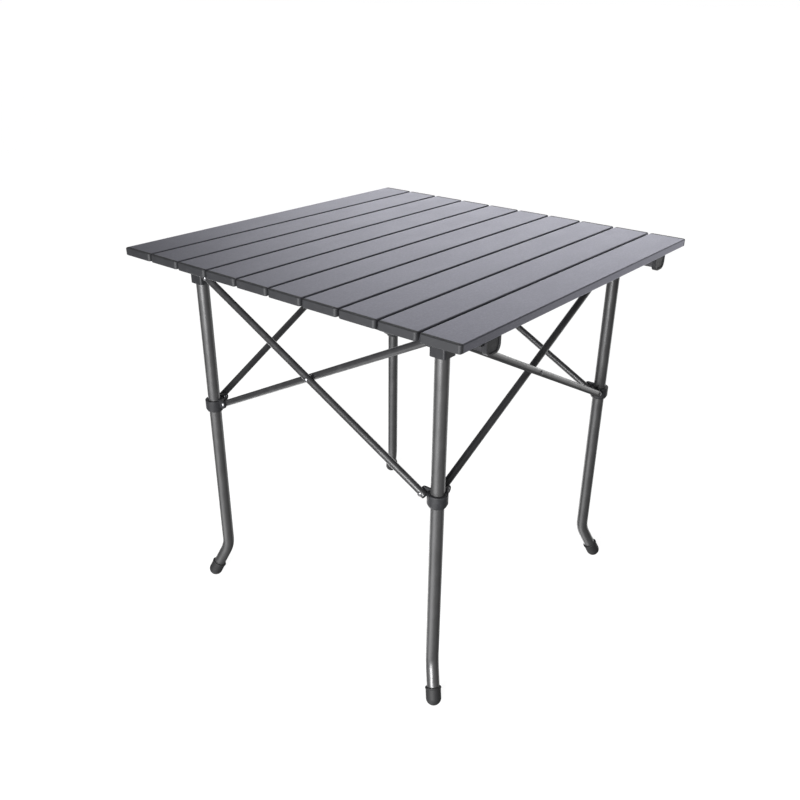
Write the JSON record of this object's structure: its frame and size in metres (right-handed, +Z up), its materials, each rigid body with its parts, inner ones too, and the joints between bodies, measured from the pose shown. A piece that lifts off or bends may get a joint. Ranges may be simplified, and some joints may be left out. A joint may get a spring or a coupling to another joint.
{
  "type": "folding side table",
  "caption": "Square folding camp table with a roll-up slatted aluminium top on a scissor frame whose legs slide together.",
  "frame": {"origin": "on the floor under the middle of the table", "axes": "+Z up, +X along the slats, +Y across the slats towards the back"},
  "size_m": [0.688, 0.696, 0.68],
  "materials": {
    "anodised_slats": "dark anodised, satin, fine grain",
    "slat_cap_plastic": "matt moulded",
    "rail_aluminium": "dark anodised, satin",
    "coated_steel_legs": "grey hammered powder coat",
    "black_gloss_braces": "gloss black enamel",
    "black_nylon": "satin moulded",
    "foot_rubber": "matt",
    "rivet_steel": "zinc plated",
    "elastic_cord": "braided"
  },
  "bodies": {
    "leg_front_left": {"leg_front_left": "coated_steel_legs", "leg_connector_front_left": "black_nylon", "foot_cap_front_left": "foot_rubber"},
    "collar_front_left": {"sliding_collar_front_left": "black_nylon"},
    "leg_front_right": {"leg_front_right": "coated_steel_legs", "leg_connector_front_right": "black_nylon", "foot_cap_front_right": "foot_rubber"},
    "collar_front_right": {"sliding_collar_front_right": "black_nylon"},
    "leg_back_right": {"leg_back_right": "coated_steel_legs", "leg_connector_back_right": "black_nylon", "foot_cap_back_right": "foot_rubber"},
    "collar_back_right": {"sliding_collar_back_right": "black_nylon"},
    "leg_back_left": {"leg_back_left": "coated_steel_legs", "leg_connector_back_left": "black_nylon", "foot_cap_back_left": "foot_rubber"},
    "collar_back_left": {"sliding_collar_back_left": "black_nylon"},
    "brace_front_outer": {"brace_front_outer": "black_gloss_braces", "rivets_front_outer": "rivet_steel"},
    "brace_front_inner": {"brace_front_inner": "black_gloss_braces", "rivets_front_inner": "rivet_steel"},
    "brace_right_outer": {"brace_right_outer": "black_gloss_braces", "rivets_right_outer": "rivet_steel"},
    "brace_right_inner": {"brace_right_inner": "black_gloss_braces", "rivets_right_inner": "rivet_steel"},
    "brace_back_outer": {"brace_back_outer": "black_gloss_braces", "rivets_back_outer": "rivet_steel"},
    "brace_back_inner": {"brace_back_inner": "black_gloss_braces", "rivets_back_inner": "rivet_steel"},
    "brace_left_outer": {"brace_left_outer": "black_gloss_braces", "rivets_left_outer": "rivet_steel"},
    "brace_left_inner": {"brace_left_inner": "black_gloss_braces", "rivets_left_inner": "rivet_steel"},
    "rail_left": {"rail_left": "rail_aluminium", "rail_left_end_caps": "black_nylon"},
    "rail_right": {"rail_right": "rail_aluminium", "rail_right_end_caps": "black_nylon"},
    "slat_01": {"slat_01": "anodised_slats", "slat_01_end_caps": "slat_cap_plastic", "rail_guides_back": "black_nylon", "elastic_cords": "elastic_cord"},
    "slat_02": {"slat_02": "anodised_slats", "slat_02_end_caps": "slat_cap_plastic"},
    "slat_03": {"slat_03": "anodised_slats", "slat_03_end_caps": "slat_cap_plastic"},
    "slat_04": {"slat_04": "anodised_slats", "slat_04_end_caps": "slat_cap_plastic"},
    "slat_05": {"slat_05": "anodised_slats", "slat_05_end_caps": "slat_cap_plastic"},
    "slat_06": {"slat_06": "anodised_slats", "slat_06_end_caps": "slat_cap_plastic"},
    "slat_07": {"slat_07": "anodised_slats", "slat_07_end_caps": "slat_cap_plastic"},
    "slat_08": {"slat_08": "anodised_slats", "slat_08_end_caps": "slat_cap_plastic"},
    "slat_09": {"slat_09": "anodised_slats", "slat_09_end_caps": "slat_cap_plastic"},
    "slat_10": {"slat_10": "anodised_slats", "slat_10_end_caps": "slat_cap_plastic", "rail_guides_front": "black_nylon"}
  },
  "joints": [
    {"name": "frame_fold", "type": "hinge", "parent": "leg_front_left", "child": "brace_front_outer", "pos_m": [-0.235, -0.2672, 0.6325], "axis": [0, 1, 0], "range_deg": [0, 56.79]},
    {"name": "front_crossing", "type": "hinge", "parent": "brace_front_outer", "child": "brace_front_inner", "pos_m": [0, -0.259, 0.51165], "axis": [0, -1, 0], "range_deg": [0, 113.58]},
    {"name": "front_right_top_pivot", "type": "hinge", "parent": "brace_front_inner", "child": "leg_front_right", "pos_m": [0.235, -0.2508, 0.6325], "axis": [0, 1, 0], "range_deg": [0, 56.79]},
    {"name": "front_right_collar_pivot", "type": "hinge", "parent": "brace_front_outer", "child": "collar_front_right", "pos_m": [0.235, -0.2672, 0.3908], "axis": [0, -1, 0], "range_deg": [0, 56.79]},
    {"name": "front_left_collar_pivot", "type": "hinge", "parent": "brace_front_inner", "child": "collar_front_left", "pos_m": [-0.235, -0.2508, 0.3908], "axis": [0, 1, 0], "range_deg": [0, 56.79]},
    {"name": "left_inner_pivot", "type": "hinge", "parent": "leg_front_left", "child": "brace_left_inner", "pos_m": [-0.2508, -0.235, 0.6325], "axis": [-1, 0, 0], "range_deg": [0, 56.79]},
    {"name": "left_crossing", "type": "hinge", "parent": "brace_left_inner", "child": "brace_left_outer", "pos_m": [-0.259, 0, 0.51165], "axis": [1, 0, 0], "range_deg": [0, 113.58]},
    {"name": "back_left_top_pivot", "type": "hinge", "parent": "brace_left_outer", "child": "leg_back_left", "pos_m": [-0.2672, 0.235, 0.6325], "axis": [-1, 0, 0], "range_deg": [0, 56.79]},
    {"name": "back_left_collar_pivot", "type": "hinge", "parent": "brace_left_inner", "child": "collar_back_left", "pos_m": [-0.2508, 0.235, 0.3908], "axis": [1, 0, 0], "range_deg": [0, 56.79]},
    {"name": "right_outer_pivot", "type": "hinge", "parent": "leg_front_right", "child": "brace_right_outer", "pos_m": [0.2672, -0.235, 0.6325], "axis": [-1, 0, 0], "range_deg": [0, 56.79]},
    {"name": "right_crossing", "type": "hinge", "parent": "brace_right_outer", "child": "brace_right_inner", "pos_m": [0.259, 0, 0.51165], "axis": [1, 0, 0], "range_deg": [0, 113.58]},
    {"name": "back_right_top_pivot", "type": "hinge", "parent": "brace_right_inner", "child": "leg_back_right", "pos_m": [0.2508, 0.235, 0.6325], "axis": [-1, 0, 0], "range_deg": [0, 56.79]},
    {"name": "back_right_collar_pivot", "type": "hinge", "parent": "brace_right_outer", "child": "collar_back_right", "pos_m": [0.2672, 0.235, 0.3908], "axis": [1, 0, 0], "range_deg": [0, 56.79]},
    {"name": "back_outer_pivot", "type": "hinge", "parent": "leg_back_right", "child": "brace_back_outer", "pos_m": [0.235, 0.2672, 0.6325], "axis": [0, -1, 0], "range_deg": [0, 56.79]},
    {"name": "back_crossing", "type": "hinge", "parent": "brace_back_outer", "child": "brace_back_inner", "pos_m": [0, 0.259, 0.51165], "axis": [0, 1, 0], "range_deg": [0, 113.58]},
    {"name": "tabletop_lift", "type": "slide", "parent": "leg_front_left", "child": "slat_01", "axis": [0, 0, 1], "range_m": [0, 0.2]},
    {"name": "rail_left_lift", "type": "slide", "parent": "leg_front_left", "child": "rail_left", "axis": [0, 0, 1], "range_m": [0, 0.1]},
    {"name": "rail_right_lift", "type": "slide", "parent": "leg_front_right", "child": "rail_right", "axis": [0, 0, 1], "range_m": [0, 0.1]},
    {"name": "slat_02_roll", "type": "hinge", "parent": "slat_01", "child": "slat_02", "pos_m": [0, 0.28, 0.68], "axis": [-1, 0, 0], "range_deg": [0, 48]},
    {"name": "slat_03_roll", "type": "hinge", "parent": "slat_02", "child": "slat_03", "pos_m": [0, 0.21, 0.68], "axis": [-1, 0, 0], "range_deg": [0, 48.5]},
    {"name": "slat_04_roll", "type": "hinge", "parent": "slat_03", "child": "slat_04", "pos_m": [0, 0.14, 0.68], "axis": [-1, 0, 0], "range_deg": [0, 50]},
    {"name": "slat_05_roll", "type": "hinge", "parent": "slat_04", "child": "slat_05", "pos_m": [0, 0.07, 0.68], "axis": [-1, 0, 0], "range_deg": [0, 53]},
    {"name": "slat_06_roll", "type": "hinge", "parent": "slat_05", "child": "slat_06", "pos_m": [0, 0, 0.68], "axis": [-1, 0, 0], "range_deg": [0, 58]},
    {"name": "slat_07_roll", "type": "hinge", "parent": "slat_06", "child": "slat_07", "pos_m": [0, -0.07, 0.68], "axis": [-1, 0, 0], "range_deg": [0, 63]},
    {"name": "slat_08_roll", "type": "hinge", "parent": "slat_07", "child": "slat_08", "pos_m": [0, -0.14, 0.68], "axis": [-1, 0, 0], "range_deg": [0, 71]},
    {"name": "slat_09_roll", "type": "hinge", "parent": "slat_08", "child": "slat_09", "pos_m": [0, -0.21, 0.68], "axis": [-1, 0, 0], "range_deg": [0, 80]},
    {"name": "tabletop_roll", "type": "hinge", "parent": "slat_09", "child": "slat_10", "pos_m": [0, -0.28, 0.68], "axis": [-1, 0, 0], "range_deg": [0, 90], "deforming": ["elastic_cords"]}
  ],
  "couplings": [
    {"joint": "front_crossing", "follows": "frame_fold", "ratio": 2},
    {"joint": "front_right_top_pivot", "follows": "frame_fold", "ratio": 1},
    {"joint": "front_right_collar_pivot", "follows": "frame_fold", "ratio": 1},
    {"joint": "front_left_collar_pivot", "follows": "frame_fold", "ratio": 1},
    {"joint": "left_inner_pivot", "follows": "frame_fold", "ratio": 1},
    {"joint": "left_crossing", "follows": "frame_fold", "ratio": 2},
    {"joint": "back_left_top_pivot", "follows": "frame_fold", "ratio": 1},
    {"joint": "back_left_collar_pivot", "follows": "frame_fold", "ratio": 1},
    {"joint": "right_outer_pivot", "follows": "frame_fold", "ratio": 1},
    {"joint": "right_crossing", "follows": "frame_fold", "ratio": 2},
    {"joint": "back_right_top_pivot", "follows": "frame_fold", "ratio": 1},
    {"joint": "back_right_collar_pivot", "follows": "frame_fold", "ratio": 1},
    {"joint": "back_outer_pivot", "follows": "frame_fold", "ratio": 1},
    {"joint": "back_crossing", "follows": "frame_fold", "ratio": 2},
    {"joint": "rail_left_lift", "follows": "tabletop_lift", "ratio": 0.5},
    {"joint": "rail_right_lift", "follows": "tabletop_lift", "ratio": 0.5},
    {"joint": "slat_02_roll", "follows": "tabletop_roll", "ratio": 0.53333},
    {"joint": "slat_03_roll", "follows": "tabletop_roll", "ratio": 0.53889},
    {"joint": "slat_04_roll", "follows": "tabletop_roll", "ratio": 0.55556},
    {"joint": "slat_05_roll", "follows": "tabletop_roll", "ratio": 0.58889},
    {"joint": "slat_06_roll", "follows": "tabletop_roll", "ratio": 0.64444},
    {"joint": "slat_07_roll", "follows": "tabletop_roll", "ratio": 0.7},
    {"joint": "slat_08_roll", "follows": "tabletop_roll", "ratio": 0.78889},
    {"joint": "slat_09_roll", "follows": "tabletop_roll", "ratio": 0.88889}
  ]
}
